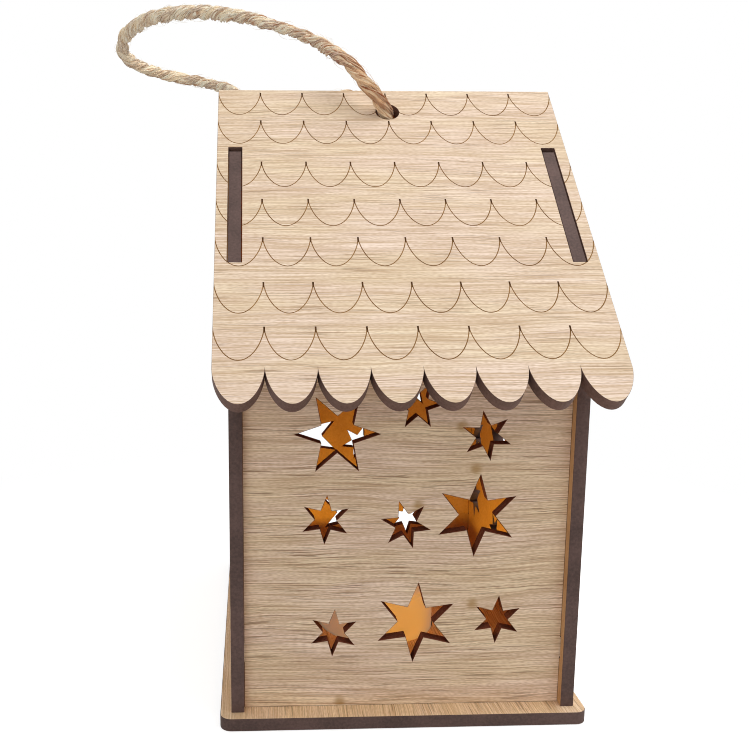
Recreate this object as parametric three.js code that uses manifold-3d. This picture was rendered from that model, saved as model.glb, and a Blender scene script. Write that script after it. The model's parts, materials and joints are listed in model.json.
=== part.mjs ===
// House-shaped wooden lantern with an LED tea light in its base and a jute hanging loop.
// Seven laser-cut sheets of veneered fibreboard plug together with tabs and slots.
// Millimetres, +Z up. The origin is the middle of the base plate's underside. The front faces -Y,
// the ridge runs along X.

import * as THREE from "three";
import { mergeVertices } from "three/addons/utils/BufferGeometryUtils.js";
import Module from "manifold-3d";

const wasm = await Module();
wasm.setup();

// Sheet and joints between sheets
const SHEET = 3.5;
const SLOT_CLEARANCE = 0.2;
const JOINT_GAP = 0.3;

// Base plate
const BASE_MARGIN_X = 3;
const BASE_MARGIN_Y = 3.3;
const BASE_CORNER_R = 3;

// House
const HOUSE_WIDTH = 93;
const HOUSE_DEPTH = 114;
const RIDGE_HEIGHT = 172.7;
const ROOF_PITCH = Math.PI / 4;
const PANEL_RECESS = 2.7;

// Roof scales: the eave is cut into the same scallops that are engraved above it
const ROOF_OVERHANG_X = 3.38;
const SCALE_COUNT = 8;
const SCALE_DEPTH = 9.9;
const SCALE_FULLNESS = 1.55;
const EAVE_RUN = 103.2;
const SCALE_STEPS = 24;

// Roof slots, the wall tabs in them, and the cord holes (distances run down the slope from the ridge)
const ROOF_SLOT_START = 25.6;
const ROOF_SLOT_LENGTH = 44;
const ROOF_TAB_PLAY_TOP = 1.4;
const ROOF_TAB_SINK = 0.3;
const CORD_HOLE_RUN = 9.8;
const CORD_HOLE_D = 7;

// Tabs of the front and back panels in the side walls, and of the walls in the base
const PANEL_TAB_HEIGHT = 5.8;
const PANEL_TAB_FROM_EDGE = 16;
const PANEL_TAB_SINK = 0.2;
const WALL_TAB_LENGTH = 16;
const WALL_TAB_SPACING = 62;
const WALL_TAB_SINK = 0.3;

// Stars: [across, above the base plate, outer radius, turn in degrees]
const STAR_POINTS = 6;
const STAR_WAIST = 0.43;
const SMALL_STAR_R = 6.5;
const MIDDLE_STAR_R = 8.5;
const BIG_STAR_R = 11.1;
const PANEL_STARS = [
  [-18.4, 75.9, BIG_STAR_R, 0],
  [2.5, 83.6, SMALL_STAR_R, 0],
  [20.7, 75.2, SMALL_STAR_R, 40],
  [-21.3, 52.8, SMALL_STAR_R, 27],
  [0, 51.3, SMALL_STAR_R, 47],
  [18.9, 53.6, BIG_STAR_R, 27],
  [-18.9, 21.2, SMALL_STAR_R, 27],
  [3.2, 23.8, BIG_STAR_R, 27],
  [25.3, 24.3, SMALL_STAR_R, 27],
];
const BACK_STAR_DROP = 3.5;
const WALL_STARS = [
  [-38, 24, SMALL_STAR_R, 27],
  [-13, 22, BIG_STAR_R, 27],
  [14, 25, SMALL_STAR_R, 0],
  [42.3, 28.7, MIDDLE_STAR_R, 30],
  [-36, 53, BIG_STAR_R, 0],
  [-11, 51, SMALL_STAR_R, 47],
  [14, 55, BIG_STAR_R, 27],
  [42, 53.5, MIDDLE_STAR_R, 30],
  [-25, 80, SMALL_STAR_R, 27],
  [1, 81, SMALL_STAR_R, 40],
  [26, 80, BIG_STAR_R, 0],
  [0, 113, BIG_STAR_R, 27],
];

// Hanging cord: two-ply jute. The route runs from the knot out of the front hole and back into the rear one.
const CORD_D = 5.2;
const CORD_SIDES = 10;
const CORD_STEPS = 72;
const CORD_ROUTE = [
  [1.3, -2.5, 160.7], [-0.2, -6.7, 165.2], [-3.4, -9.2, 169.7], [-7.4, -9, 174.2], [-11.8, -5.4, 180.1],
  [-15.5, 2.7, 184.3], [-19.2, 12.3, 188.8], [-25.5, 21.6, 193.4], [-32.4, 31.5, 197.8],
  [-39.9, 41.6, 201.8], [-47.9, 52.1, 205.4], [-57, 63.1, 208.5], [-66.6, 74.7, 210.9],
  [-76.1, 87.1, 212.1], [-85.3, 100.1, 211.8], [-92.2, 113.1, 209.6], [-94.7, 126, 205.9],
  [-90.2, 138, 202.5], [-79.4, 144.5, 199.8], [-66.4, 142.6, 196.9], [-56.4, 132.6, 193.5],
  [-50.4, 119.5, 190.3], [-47, 106, 186.6], [-43, 92, 182.5], [-38, 78.5, 179.5], [-32, 65.5, 177.5],
  [-25, 53, 176], [-18, 41.5, 175], [-11.5, 31, 174.5], [-6, 22, 173.5], [-1.5, 14.5, 171.5],
  [0, 8.5, 167.5], [0, 4, 163],
];
const KNOT_R = 6.6;
const KNOT_HEIGHT = 12;
const KNOT_Z = 154;

// LED tea light, pushed into the base from below
const LIGHT_D = 37;
const LIGHT_HEIGHT = 16.5;
const LIGHT_WALL = 1.2;
const LIGHT_TOP_WALL = 1.2;
const LIGHT_FIT_GAP = 0.25;
const LIGHT_LIFT = 0.3;
const LIGHT_EDGE_R = 1.4;
const DISH_RIM = 2.2;
const DISH_DEPTH = 2.3;
const LAMP_D = 5;
const LAMP_HEIGHT = 8.6;
const LAMP_FLANGE_D = 5.9;
const LAMP_FLANGE_HEIGHT = 1;
const LAMP_LEG = 0.5;
const LAMP_LEG_SPACING = 2.54;
const LAMP_HOLE_GAP = 0.2;
const FLAME_HEIGHT = 21.5;
const FLAME_D = 11.2;
const FLAME_WALL = 2.2;

// Bottom cover of the tea light, with its battery bay, battery door and slide switch
const FLOOR_RECESS = 1.5;
const FLOOR_THICKNESS = 1.8;
const CELL_D = 20;
const CELL_HEIGHT = 3.2;
const CELL_Y = 2.5;
const BAY_PLAY = 0.9;
const BAY_WALL = 1.3;
const DOOR_GAP = 0.3;
const DOOR_SHY = 0.2;
const DOOR_TONGUE_WIDTH = 8;
const DOOR_TONGUE_REACH = 1.8;
const FINGER_NOTCH_R = 2.2;
const CONTACT_THICKNESS = 0.3;
const CONTACT_WIDTH = 3.6;
const CONTACT_GAP = 0.2;
const SWITCH_LENGTH = 8.6;
const SWITCH_WIDTH = 3.6;
const SWITCH_HEIGHT = 3.5;
const SWITCH_Y = -12.7;
const SLIDER_LENGTH = 2.6;
const SLIDER_WIDTH = 1.6;
const SLIDER_TRAVEL = 2;
const SLIDER_SEAT = 1.3;
const SLIDER_REACH = 1;
const SLIDER_GAP = 0.3;

// Sizes that follow from those above
const BASE_TOP = SHEET;
const BASE_WIDTH = HOUSE_WIDTH + 2 * BASE_MARGIN_X;
const BASE_DEPTH = HOUSE_DEPTH + 2 * BASE_MARGIN_Y;
const WALL_INNER_X = HOUSE_WIDTH / 2 - SHEET;
const PANEL_OUTER_Y = HOUSE_DEPTH / 2 - PANEL_RECESS;
const PANEL_INNER_Y = PANEL_OUTER_Y - SHEET;
const ROOF_WIDTH = HOUSE_WIDTH + 2 * ROOF_OVERHANG_X;
const SCALE_PITCH = ROOF_WIDTH / SCALE_COUNT;
const ROOF_TAB_START = ROOF_SLOT_START + ROOF_TAB_PLAY_TOP;
const ROOF_TAB_END = ROOF_SLOT_START + ROOF_SLOT_LENGTH - JOINT_GAP;
const PANEL_TOP = roofUnderside(PANEL_OUTER_Y) - JOINT_GAP;
const PANEL_TAB_CENTRES = [BASE_TOP + PANEL_TAB_FROM_EDGE, PANEL_TOP - PANEL_TAB_FROM_EDGE];
const LIGHT_R = LIGHT_D / 2;
const LIGHT_BORE_R = LIGHT_R - LIGHT_WALL;
const DISH_FLOOR = LIGHT_HEIGHT - DISH_DEPTH;
const LIGHT_CEILING = DISH_FLOOR - LIGHT_TOP_WALL;
const LAMP_HOLE_R = LAMP_D / 2 + LAMP_HOLE_GAP;
const FLOOR_TOP = FLOOR_RECESS + FLOOR_THICKNESS;
const BAY_R = CELL_D / 2 + BAY_PLAY;
const CELL_BOTTOM = FLOOR_TOP + CONTACT_GAP;
const BAY_TOP = CELL_BOTTOM + CELL_HEIGHT;
const DOOR_R = BAY_R - DOOR_GAP;
const DOOR_HINGE_Y = CELL_Y + BAY_R + DOOR_TONGUE_REACH - DOOR_GAP;
const CONTACT_BOTTOM = BAY_TOP + CONTACT_GAP;
const CONTACT_TOP = CONTACT_BOTTOM + CONTACT_THICKNESS;
const SWITCH_TOP = FLOOR_TOP + SWITCH_HEIGHT;

// Height of the roof panels' underside at a distance from the middle plane.
function roofUnderside(y) {
  return RIDGE_HEIGHT - y * Math.tan(ROOF_PITCH) - SHEET / Math.cos(ROOF_PITCH);
}

// Materials
function finish(color, roughness, metalness = 0) {
  return new THREE.MeshStandardMaterial({ color, roughness, metalness });
}
const oak = finish(0xdcc3a0, 0.7);
const jute = finish(0xc0a17c, 0.95);
const lampShell = finish(0xf0e3d0, 0.45);
const flameShell = finish(0xffc98a, 0.35);
const blackPlastic = finish(0x24211f, 0.5);
const steel = finish(0xb9bbbd, 0.3, 1);
const nickel = finish(0xc9c6bd, 0.35, 1);

// Mesh helpers
function toSolid(geometry) {
  const bare = (geometry.index ? geometry.toNonIndexed() : geometry).clone();
  bare.deleteAttribute("normal");
  bare.deleteAttribute("uv");
  const merged = mergeVertices(bare, 1e-4);
  return new wasm.Manifold(
    new wasm.Mesh({
      numProp: 3,
      vertProperties: merged.attributes.position.array,
      triVerts: new Uint32Array(merged.index.array),
    }),
  );
}

function toGeometry(solid) {
  const mesh = solid.getMesh();
  const geometry = new THREE.BufferGeometry();
  geometry.setAttribute("position", new THREE.BufferAttribute(new Float32Array(mesh.vertProperties), 3));
  geometry.setIndex(new THREE.BufferAttribute(new Uint32Array(mesh.triVerts), 1));
  geometry.computeVertexNormals();
  return geometry;
}

function named(name, geometry, material) {
  const mesh = new THREE.Mesh(geometry, material);
  mesh.name = name;
  return mesh;
}

function boxBetween(low, high) {
  const size = high.map((value, axis) => value - low[axis]);
  const middle = high.map((value, axis) => (value + low[axis]) / 2);
  return new THREE.BoxGeometry(...size).translate(...middle);
}

// A turned piece about Z, from [radius, height] points.
function turned(profile, segments) {
  const points = profile.map(([radius, height]) => new THREE.Vector2(radius, height));
  return new THREE.LatheGeometry(points, segments).rotateX(Math.PI / 2);
}

function disc(radius, bottom, top, x, y, segments = 48) {
  const height = top - bottom;
  const geometry = new THREE.CylinderGeometry(radius, radius, height, segments).rotateX(Math.PI / 2);
  return geometry.translate(x, y, bottom + height / 2);
}

// A sheet of the given outline with holes cut right through it, lying on Z = 0.
function cutSheet(outline, holes, thickness) {
  const extruded = (points, depth) =>
    new THREE.ExtrudeGeometry(new THREE.Shape(points), { depth, bevelEnabled: false });
  const blank = toSolid(extruded(outline, thickness));
  const cutters = holes.map((hole) => toSolid(extruded(hole, 3 * thickness).translate(0, 0, -thickness)));
  return toGeometry(wasm.Manifold.difference([blank, ...cutters]));
}

// Outlines
const at = (x, y) => new THREE.Vector2(x, y);

function rectangle(x0, y0, x1, y1) {
  return [at(x0, y0), at(x1, y0), at(x1, y1), at(x0, y1)];
}

function star([x, aboveBase, radius, turn]) {
  const points = [];
  for (let corner = 0; corner < 2 * STAR_POINTS; corner += 1) {
    const angle = THREE.MathUtils.degToRad(turn) + (corner * Math.PI) / STAR_POINTS;
    const reach = corner % 2 === 0 ? radius : radius * STAR_WAIST;
    points.push(at(x + reach * Math.cos(angle), BASE_TOP + aboveBase + reach * Math.sin(angle)));
  }
  return points;
}

function arc(x, y, radius, from, to, steps) {
  const points = [];
  for (let step = 0; step <= steps; step += 1) {
    const angle = from + ((to - from) * step) / steps;
    points.push(at(x + radius * Math.cos(angle), y + radius * Math.sin(angle)));
  }
  return points;
}

function roundHole(x, y, radius, sides) {
  return arc(x, y, radius, 0, 2 * Math.PI, sides).slice(1);
}

// Base plate: rounded rectangle with the tea light's hole and four slots for the walls' feet
function basePlate() {
  const x = BASE_WIDTH / 2 - BASE_CORNER_R;
  const y = BASE_DEPTH / 2 - BASE_CORNER_R;
  const turn = Math.PI / 2;
  const outline = [[x, y], [-x, y], [-x, -y], [x, -y]].flatMap(([cornerX, cornerY], corner) =>
    arc(cornerX, cornerY, BASE_CORNER_R, corner * turn, (corner + 1) * turn, 6),
  );
  const holes = [roundHole(0, 0, LIGHT_R + LIGHT_FIT_GAP, 56)];
  const halfLength = WALL_TAB_LENGTH / 2 + SLOT_CLEARANCE;
  const halfWidth = SHEET / 2 + SLOT_CLEARANCE;
  for (const side of [-1, 1]) {
    for (const end of [-1, 1]) {
      const middleX = side * (HOUSE_WIDTH / 2 - SHEET / 2);
      const middleY = (end * WALL_TAB_SPACING) / 2;
      holes.push(
        rectangle(middleX - halfWidth, middleY - halfLength, middleX + halfWidth, middleY + halfLength),
      );
    }
  }
  return cutSheet(outline, holes, SHEET);
}

// Side wall, drawn in Y and Z: a gable with tabs on both slopes and two feet
function wallOutline() {
  const across = Math.cos(ROOF_PITCH);
  const down = Math.sin(ROOF_PITCH);
  const edge = SHEET + JOINT_GAP;
  const onSlope = (run, depth, side) =>
    at(side * (run * across - depth * down), RIDGE_HEIGHT - run * down - depth * across);
  const slopeWithTab = (side) => [
    onSlope(ROOF_TAB_END, edge, side),
    onSlope(ROOF_TAB_END, ROOF_TAB_SINK, side),
    onSlope(ROOF_TAB_START, ROOF_TAB_SINK, side),
    onSlope(ROOF_TAB_START, edge, side),
  ];
  const halfDepth = HOUSE_DEPTH / 2;
  const eaveHeight = roofUnderside(halfDepth) - JOINT_GAP / across;
  const footEnd = WALL_TAB_SINK;
  const foot = (middle) => [
    at(middle - WALL_TAB_LENGTH / 2, BASE_TOP),
    at(middle - WALL_TAB_LENGTH / 2, footEnd),
    at(middle + WALL_TAB_LENGTH / 2, footEnd),
    at(middle + WALL_TAB_LENGTH / 2, BASE_TOP),
  ];
  return [
    at(-halfDepth, BASE_TOP),
    ...foot(-WALL_TAB_SPACING / 2),
    ...foot(WALL_TAB_SPACING / 2),
    at(halfDepth, BASE_TOP),
    at(halfDepth, eaveHeight),
    ...slopeWithTab(1),
    at(0, roofUnderside(0) - JOINT_GAP / across),
    ...slopeWithTab(-1).reverse(),
    at(-halfDepth, eaveHeight),
  ];
}

function sideWall() {
  const holes = WALL_STARS.map(star);
  const halfTab = PANEL_TAB_HEIGHT / 2 + SLOT_CLEARANCE;
  for (const side of [-1, 1]) {
    const ends = [side * (PANEL_INNER_Y - SLOT_CLEARANCE), side * (PANEL_OUTER_Y + SLOT_CLEARANCE)];
    for (const centre of PANEL_TAB_CENTRES) {
      holes.push(rectangle(Math.min(...ends), centre - halfTab, Math.max(...ends), centre + halfTab));
    }
  }
  const upright = new THREE.Matrix4().makeBasis(
    new THREE.Vector3(0, 1, 0),
    new THREE.Vector3(0, 0, 1),
    new THREE.Vector3(1, 0, 0),
  );
  return cutSheet(wallOutline(), holes, SHEET).applyMatrix4(upright);
}

// Front and back panel, drawn in X and Z as seen from outside, with two tabs on each side
function facePanel(starDrop) {
  const edgeX = WALL_INNER_X;
  const tabX = HOUSE_WIDTH / 2 - PANEL_TAB_SINK;
  const half = PANEL_TAB_HEIGHT / 2;
  const rightSide = PANEL_TAB_CENTRES.flatMap((centre) => [
    at(edgeX, centre - half),
    at(tabX, centre - half),
    at(tabX, centre + half),
    at(edgeX, centre + half),
  ]);
  const leftSide = rightSide.map((point) => at(-point.x, point.y)).reverse();
  const outline = [
    at(-edgeX, BASE_TOP),
    at(edgeX, BASE_TOP),
    ...rightSide,
    at(edgeX, PANEL_TOP),
    at(-edgeX, PANEL_TOP),
    ...leftSide,
  ];
  const stars = PANEL_STARS.map(([x, aboveBase, radius, turn]) => star([x, aboveBase - starDrop, radius, turn]));
  const sheet = cutSheet(outline, stars, SHEET);
  return sheet.rotateX(Math.PI / 2).translate(0, -PANEL_INNER_Y, 0);
}

// Roof panel, drawn flat: X along the ridge, Y up the slope from the eave to 0 at the ridge line
function eaveScallops() {
  const points = [];
  for (let scale = 0; scale < SCALE_COUNT; scale += 1) {
    const left = -ROOF_WIDTH / 2 + scale * SCALE_PITCH;
    for (let step = scale === 0 ? 0 : 1; step <= SCALE_STEPS; step += 1) {
      const sweep = (step * Math.PI) / SCALE_STEPS;
      const hang = step === SCALE_STEPS ? 0 : Math.sin(sweep) ** (2 / SCALE_FULLNESS);
      const x = left + (SCALE_PITCH / 2) * (1 - Math.cos(sweep));
      points.push(at(x, -EAVE_RUN - SCALE_DEPTH * hang));
    }
  }
  return points;
}

function roofPanel(topRun) {
  const halfWidth = ROOF_WIDTH / 2;
  const outline = [...eaveScallops(), at(halfWidth, -topRun), at(-halfWidth, -topRun)];
  const wallMiddle = HOUSE_WIDTH / 2 - SHEET / 2;
  const halfSlot = SHEET / 2 + SLOT_CLEARANCE;
  const slotEnd = ROOF_SLOT_START + ROOF_SLOT_LENGTH;
  const holes = [-1, 1].map((side) =>
    rectangle(side * wallMiddle - halfSlot, -slotEnd, side * wallMiddle + halfSlot, -ROOF_SLOT_START),
  );
  holes.push(roundHole(0, -CORD_HOLE_RUN, CORD_HOLE_D / 2, 24));
  const sheet = cutSheet(outline, holes, SHEET).translate(0, 0, -SHEET);
  return sheet.rotateX(ROOF_PITCH).translate(0, 0, RIDGE_HEIGHT);
}

// Hanging cord and the one knot that joins its two ends under the ridge
function hangingCord() {
  const route = CORD_ROUTE.map(([x, y, z]) => new THREE.Vector3(x, y, z));
  const section = new THREE.Shape();
  for (let side = 0; side < CORD_SIDES; side += 1) {
    const angle = (side * 2 * Math.PI) / CORD_SIDES;
    const point = [(CORD_D / 2) * Math.cos(angle), (CORD_D / 2) * Math.sin(angle)];
    if (side === 0) section.moveTo(...point);
    else section.lineTo(...point);
  }
  return new THREE.ExtrudeGeometry(section, {
    steps: CORD_STEPS,
    bevelEnabled: false,
    extrudePath: new THREE.CatmullRomCurve3(route, false, "catmullrom", 0.5),
  });
}

function cordKnot() {
  const rings = 10;
  const profile = [];
  for (let ring = 0; ring <= rings; ring += 1) {
    const angle = -Math.PI / 2 + (ring * Math.PI) / rings;
    const radius = ring === 0 || ring === rings ? 0 : KNOT_R * Math.cos(angle);
    profile.push([radius, KNOT_Z + (KNOT_HEIGHT / 2) * Math.sin(angle)]);
  }
  return turned(profile, 16);
}

// Tea light shell: an open-bottomed cup with a dished top and a hole for the lamp
function lightShell() {
  const outer = LIGHT_R;
  const profile = [
    [LIGHT_BORE_R, 0],
    [outer, 0],
    [outer, LIGHT_HEIGHT - LIGHT_EDGE_R],
    [outer - 0.3 * LIGHT_EDGE_R, LIGHT_HEIGHT - 0.3 * LIGHT_EDGE_R],
    [outer - LIGHT_EDGE_R, LIGHT_HEIGHT],
    [outer - DISH_RIM, LIGHT_HEIGHT],
    [outer - DISH_RIM - DISH_DEPTH / 2, DISH_FLOOR],
    [LAMP_HOLE_R, DISH_FLOOR],
    [LAMP_HOLE_R, LIGHT_CEILING],
    [LIGHT_BORE_R, LIGHT_CEILING],
    [LIGHT_BORE_R, 0],
  ];
  return turned(profile, 56);
}

// Flame-shaped diffuser standing in the dish, hollow for the lamp
function flameTip() {
  const outer = FLAME_D / 2;
  const foot = DISH_FLOOR;
  const bore = outer - FLAME_WALL;
  const share = (part) => foot + FLAME_HEIGHT * part;
  const profile = [
    [bore, foot],
    [outer * 0.95, foot],
    [outer * 0.95, share(0.03)],
    [outer * 0.8, share(0.06)],
    [outer * 0.93, share(0.16)],
    [outer, share(0.28)],
    [outer * 0.95, share(0.4)],
    [outer * 0.78, share(0.55)],
    [outer * 0.53, share(0.72)],
    [outer * 0.25, share(0.89)],
    [0, share(1)],
    [0, share(0.58)],
    [bore * 0.7, share(0.5)],
    [bore, share(0.38)],
    [bore, foot],
  ];
  return turned(profile, 28);
}

// LED: moulded lens with its flange under the shell's top, and two legs
function ledLamp() {
  const lens = LAMP_D / 2;
  const flangeTop = LIGHT_CEILING - CONTACT_GAP;
  const flangeBottom = flangeTop - LAMP_FLANGE_HEIGHT;
  const top = flangeBottom + LAMP_HEIGHT;
  const body = turned(
    [
      [0, flangeBottom],
      [LAMP_FLANGE_D / 2, flangeBottom],
      [LAMP_FLANGE_D / 2, flangeTop],
      [lens, flangeTop],
      [lens, top - lens],
      [lens * 0.87, top - lens / 2],
      [lens / 2, top - lens * 0.13],
      [0, top],
    ],
    24,
  );
  const legEnd = CONTACT_TOP + CONTACT_GAP;
  const half = LAMP_LEG / 2;
  let lamp = toSolid(body);
  for (const side of [-1, 1]) {
    const x = (side * LAMP_LEG_SPACING) / 2;
    lamp = lamp.add(toSolid(boxBetween([x - half, -half, legEnd], [x + half, half, flangeTop - half])));
  }
  return toGeometry(lamp);
}

// Bottom cover with the door opening, the finger notch, the switch slot and the ring round the cell
function lightFloor() {
  const under = FLOOR_RECESS;
  const past = 1;
  const tongue = DOOR_TONGUE_WIDTH / 2 + DOOR_GAP;
  const floorR = LIGHT_BORE_R - LIGHT_FIT_GAP;
  const sliderRun = SLIDER_LENGTH / 2 + SLIDER_GAP;
  const sliderHalf = SLIDER_WIDTH / 2 + SLIDER_GAP;
  const plate = toSolid(disc(floorR, under, FLOOR_TOP, 0, 0, 56));
  const wall = toSolid(disc(BAY_R + BAY_WALL, under, BAY_TOP, 0, CELL_Y));
  const cuts = [
    disc(BAY_R, under - past, BAY_TOP + past, 0, CELL_Y),
    disc(FINGER_NOTCH_R, under - past, FLOOR_TOP - past / 2, 0, CELL_Y - BAY_R, 20),
    boxBetween([-tongue, CELL_Y, under - past], [tongue, DOOR_HINGE_Y + DOOR_GAP, FLOOR_TOP + past]),
    boxBetween(
      [-sliderRun, SWITCH_Y - sliderHalf, under - past],
      [sliderRun + SLIDER_TRAVEL, SWITCH_Y + sliderHalf, FLOOR_TOP + past],
    ),
  ];
  const solid = cuts.reduce((rest, cut) => rest.subtract(toSolid(cut)), plate.add(wall));
  return toGeometry(solid);
}

// Battery door: a round lid with a tongue that it swings on
function batteryDoor() {
  const top = FLOOR_TOP - DOOR_SHY;
  const half = DOOR_TONGUE_WIDTH / 2;
  const lid = toSolid(disc(DOOR_R, FLOOR_RECESS, top, 0, CELL_Y));
  const tongue = toSolid(boxBetween([-half, CELL_Y, FLOOR_RECESS], [half, DOOR_HINGE_Y, top]));
  return toGeometry(lid.add(tongue));
}

function coinCell() {
  const rim = CELL_D / 2;
  const chamfer = 0.4;
  const top = CELL_BOTTOM + CELL_HEIGHT;
  const profile = [
    [0, CELL_BOTTOM],
    [rim - chamfer, CELL_BOTTOM],
    [rim, CELL_BOTTOM + chamfer],
    [rim, top - 2 * chamfer],
    [rim - 2 * chamfer, top - chamfer],
    [rim - 3 * chamfer, top],
    [0, top],
  ];
  return turned(profile, 40).translate(0, CELL_Y, 0);
}

// Contact strips: one down the cell's side to a lamp leg, one over the cell to the switch
function positiveContact() {
  const half = CONTACT_WIDTH / 2;
  const legX = LAMP_LEG_SPACING / 2 - LAMP_LEG;
  const sideX = CELL_D / 2 + CONTACT_GAP;
  const strip = boxBetween([legX, -half, CONTACT_BOTTOM], [BAY_R + BAY_WALL, half, CONTACT_TOP]);
  const tongue = boxBetween(
    [sideX, CELL_Y - 1, CELL_BOTTOM + CELL_HEIGHT / 3],
    [sideX + CONTACT_THICKNESS, half, CONTACT_TOP],
  );
  return toGeometry(toSolid(strip).add(toSolid(tongue)));
}

function negativeContact() {
  const right = -LAMP_LEG_SPACING / 2 - 1.2;
  const low = [right - CONTACT_WIDTH / 2, SWITCH_Y - SWITCH_WIDTH / 4, CONTACT_BOTTOM];
  const strip = boxBetween(low, [right, CELL_Y + CELL_D / 4, CONTACT_TOP]);
  const dimple = disc(0.7, CONTACT_BOTTOM - CONTACT_GAP / 2, CONTACT_TOP, right - CONTACT_WIDTH / 4, CELL_Y, 12);
  return toGeometry(toSolid(strip).add(toSolid(dimple)));
}

// Lead from the switch to the lamp's other leg
function switchLead() {
  const x = -LAMP_LEG_SPACING / 2;
  const half = LAMP_LEG;
  const foot = SWITCH_TOP + CONTACT_GAP;
  const strip = boxBetween([x - half, SWITCH_Y, CONTACT_BOTTOM], [x + half, half, CONTACT_TOP]);
  const post = boxBetween([x - half, SWITCH_Y - half, foot], [x + half, SWITCH_Y + half, CONTACT_TOP]);
  return toGeometry(toSolid(strip).add(toSolid(post)));
}

// Slide switch: a housing open below, and its slider reaching through the cover
function switchBody() {
  const halfLength = SWITCH_LENGTH / 2;
  const halfWidth = SWITCH_WIDTH / 2;
  const middle = SLIDER_TRAVEL / 2;
  const run = SLIDER_LENGTH / 2 + SLIDER_GAP;
  const half = SLIDER_WIDTH / 2 + SLIDER_GAP;
  const housing = boxBetween(
    [middle - halfLength, SWITCH_Y - halfWidth, FLOOR_TOP],
    [middle + halfLength, SWITCH_Y + halfWidth, SWITCH_TOP],
  );
  const track = boxBetween(
    [-run, SWITCH_Y - half, FLOOR_TOP - 1],
    [run + SLIDER_TRAVEL, SWITCH_Y + half, FLOOR_TOP + SLIDER_SEAT + SLIDER_GAP],
  );
  return toGeometry(toSolid(housing).subtract(toSolid(track)));
}

function switchSlider() {
  const halfLength = SLIDER_LENGTH / 2;
  const halfWidth = SLIDER_WIDTH / 2;
  return boxBetween(
    [-halfLength, SWITCH_Y - halfWidth, FLOOR_RECESS - SLIDER_REACH],
    [halfLength, SWITCH_Y + halfWidth, FLOOR_TOP + SLIDER_SEAT],
  );
}

// Assembly
const lantern = new THREE.Group();

const rightWall = named("right_side_wall", sideWall(), oak);
rightWall.position.x = WALL_INNER_X;
const leftWall = named("left_side_wall", sideWall(), oak);
leftWall.position.x = -HOUSE_WIDTH / 2;

const backPanel = named("back_panel", facePanel(BACK_STAR_DROP), oak);
backPanel.rotation.z = Math.PI;
const backRoof = named("back_roof_panel", roofPanel(SHEET + JOINT_GAP), oak);
backRoof.rotation.z = Math.PI;

lantern.add(
  named("base_plate", basePlate(), oak),
  leftWall,
  rightWall,
  named("front_panel", facePanel(0), oak),
  backPanel,
  named("front_roof_panel", roofPanel(0), oak),
  backRoof,
  named("hanging_cord", hangingCord(), jute),
  named("cord_knot", cordKnot(), jute),
);

const teaLight = new THREE.Group();
teaLight.position.z = LIGHT_LIFT;
teaLight.add(
  named("light_shell", lightShell(), lampShell),
  named("flame_tip", flameTip(), flameShell),
  named("led_lamp", ledLamp(), flameShell),
  named("light_floor", lightFloor(), lampShell),
  named("coin_cell", coinCell(), steel),
  named("positive_contact", positiveContact(), nickel),
  named("negative_contact", negativeContact(), nickel),
  named("switch_lead", switchLead(), nickel),
  named("switch_body", switchBody(), blackPlastic),
  named("switch_slider", switchSlider(), blackPlastic),
  named("battery_door", batteryDoor(), lampShell),
);
lantern.add(teaLight);

export default lantern;
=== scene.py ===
import json
import math
import random

import bpy
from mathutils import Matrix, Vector

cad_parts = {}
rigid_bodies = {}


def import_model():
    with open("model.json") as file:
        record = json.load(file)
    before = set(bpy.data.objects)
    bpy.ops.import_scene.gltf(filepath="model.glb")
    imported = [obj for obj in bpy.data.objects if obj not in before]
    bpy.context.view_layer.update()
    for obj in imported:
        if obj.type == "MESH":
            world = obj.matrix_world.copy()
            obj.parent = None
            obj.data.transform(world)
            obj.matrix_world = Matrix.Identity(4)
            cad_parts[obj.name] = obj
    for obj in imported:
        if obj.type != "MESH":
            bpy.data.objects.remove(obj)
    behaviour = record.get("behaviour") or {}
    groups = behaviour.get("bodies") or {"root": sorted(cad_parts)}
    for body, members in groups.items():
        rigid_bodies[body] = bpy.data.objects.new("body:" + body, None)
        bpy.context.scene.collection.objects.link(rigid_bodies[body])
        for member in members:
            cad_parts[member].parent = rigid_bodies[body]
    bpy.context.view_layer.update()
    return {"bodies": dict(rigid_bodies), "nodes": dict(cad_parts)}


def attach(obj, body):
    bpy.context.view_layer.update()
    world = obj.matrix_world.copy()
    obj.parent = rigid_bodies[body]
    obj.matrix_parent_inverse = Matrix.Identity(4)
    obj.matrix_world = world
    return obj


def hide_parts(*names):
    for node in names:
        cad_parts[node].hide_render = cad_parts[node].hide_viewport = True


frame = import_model()
cad_nodes = frame["nodes"]
MM = 0.001


# Base plate: the sheet that everything plugs into, 3.5 mm fibreboard with pale oak veneer on its upper face.
# A laser cut its outline, the round seat of the tea light and the slots for the walls' feet, and left
# every cut edge brown.

def linear(hex_colour):
    """An sRGB hex colour as linear RGBA."""
    parts = [int(hex_colour[i:i + 2], 16) / 255 for i in (1, 3, 5)]
    return [p / 12.92 if p <= 0.04045 else ((p + 0.055) / 1.055) ** 2.4 for p in parts] + [1.0]


def add_node(tree, kind, inputs=None, **settings):
    """Adds a node, sets it up, and links or sets its inputs."""
    made = tree.nodes.new(kind)
    for name, value in settings.items():
        setattr(made, name, value)
    for socket, value in (inputs or {}).items():
        if isinstance(value, bpy.types.NodeSocket):
            tree.links.new(value, made.inputs[socket])
        else:
            made.inputs[socket].default_value = value
    return made


def new_material(name):
    """A material with no nodes yet, and its node tree."""
    material = bpy.data.materials.new(name)
    material.use_nodes = True
    material.node_tree.nodes.clear()
    return material, material.node_tree


# Length along the grain and width across it, in mm, of each figure in the wood.
TINT_PATCH = (60, 9)
TONE_BAND = (90, 1.8)
FIBRE = (22, 0.3)
FLECK = (1.3, 0.3)
DARK_LINE = (18, 0.34)
LIGHT_LINE = (24, 0.33)
PORE = (12, 0.32)
PORE_CLUSTER = (40, 3.5)
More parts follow.
